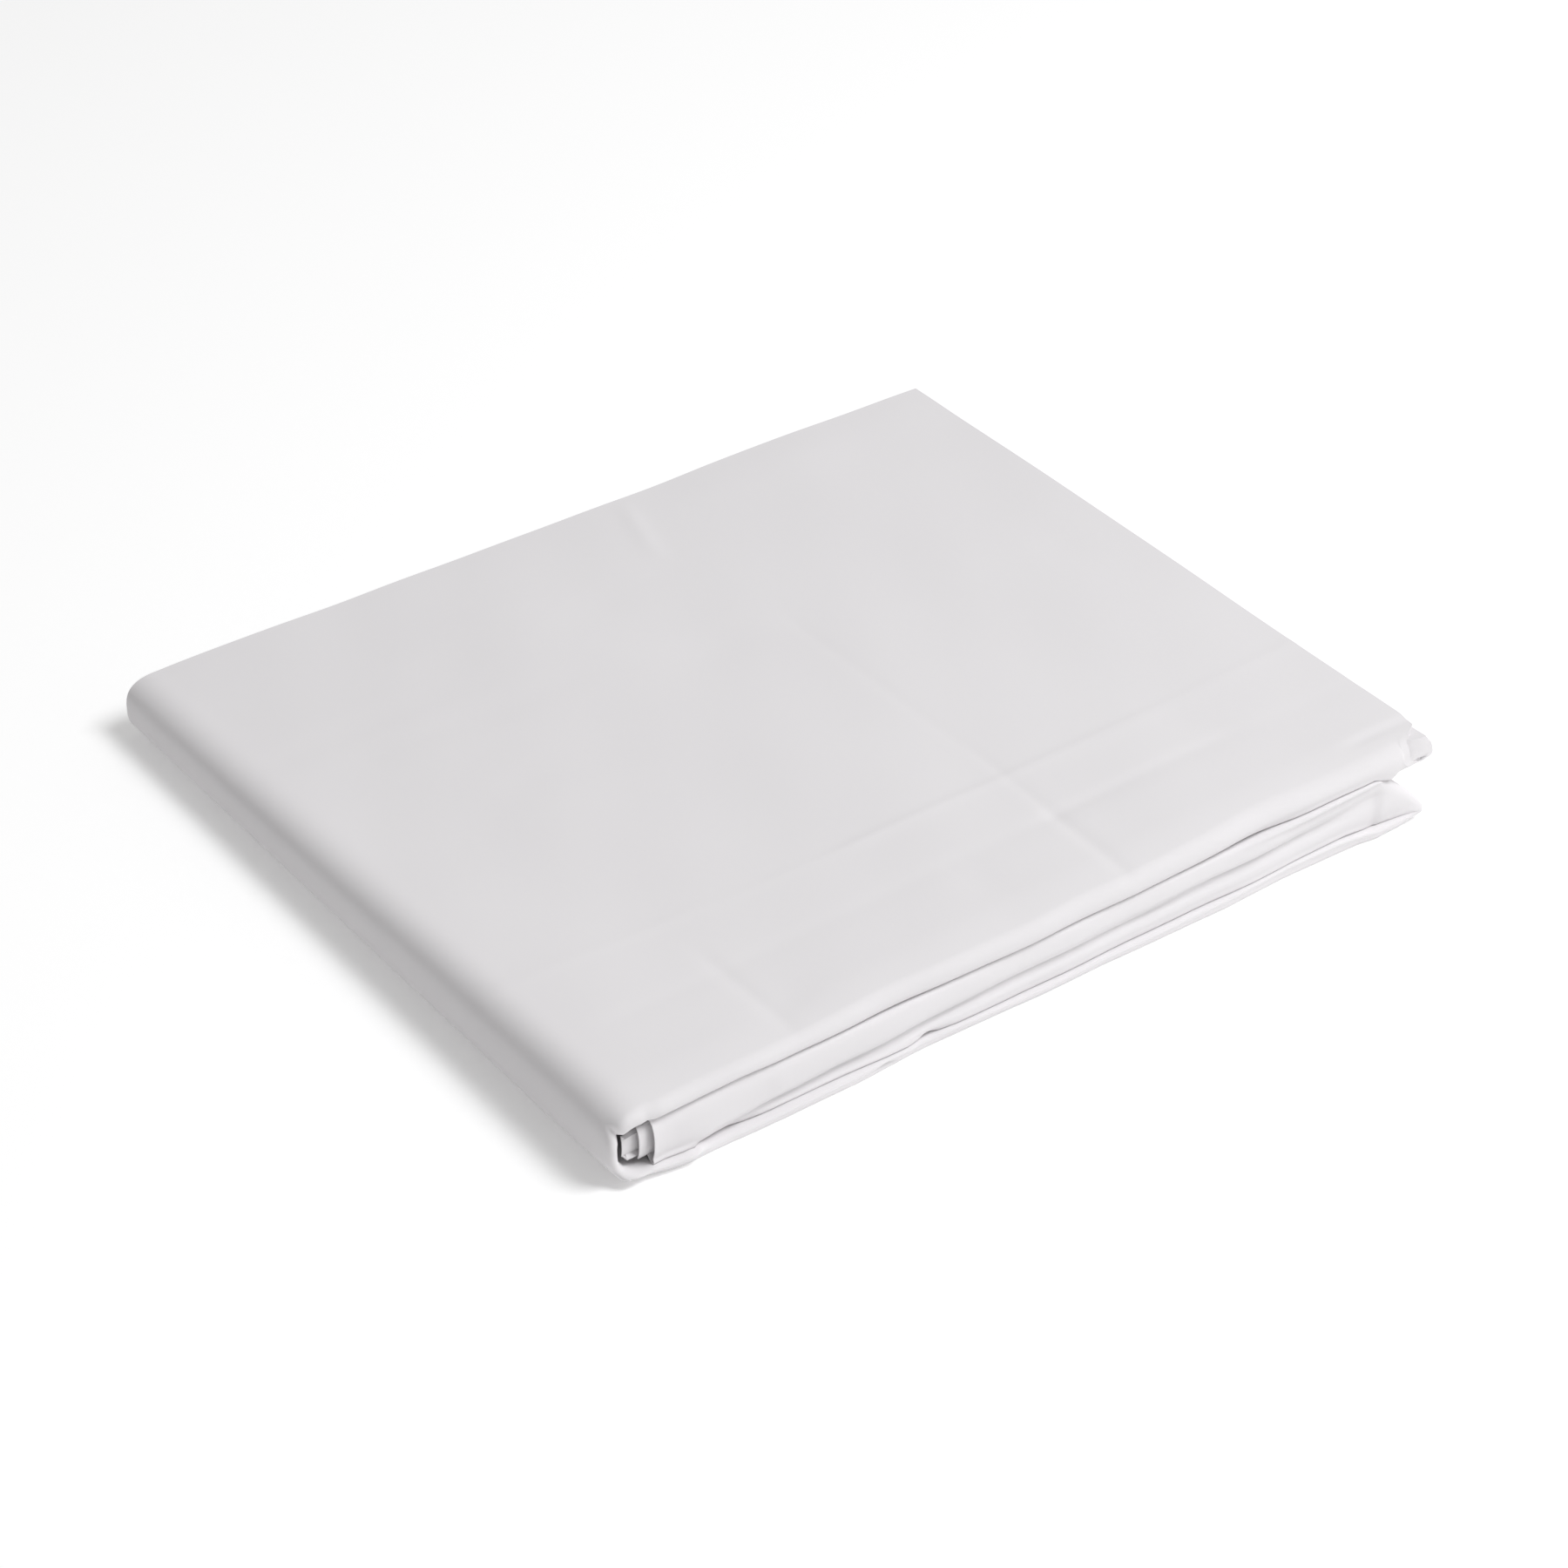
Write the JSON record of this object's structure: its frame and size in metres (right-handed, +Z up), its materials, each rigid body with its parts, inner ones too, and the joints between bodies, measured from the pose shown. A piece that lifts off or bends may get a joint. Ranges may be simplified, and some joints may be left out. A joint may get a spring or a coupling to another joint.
{
  "type": "folded duvet cover",
  "caption": "White cotton duvet cover folded into a flat, slightly uneven bundle: rolled front edge, wrapped left end, layers open at the right end.",
  "frame": {"origin": "centre of the bundle's box in plan, on the surface it lies on", "axes": "+X along the front edge towards the open end, the wrapped end at -X; +Y from the rolled front edge to the back edge; +Z up through the layers"},
  "size_m": [0.362, 0.3242, 0.037],
  "materials": {
    "white_cotton": "plain fine weave, pressed, matt with a slight sheen"
  },
  "bodies": {
    "root": {"duvet_cover": "white_cotton"}
  },
  "joints": []
}
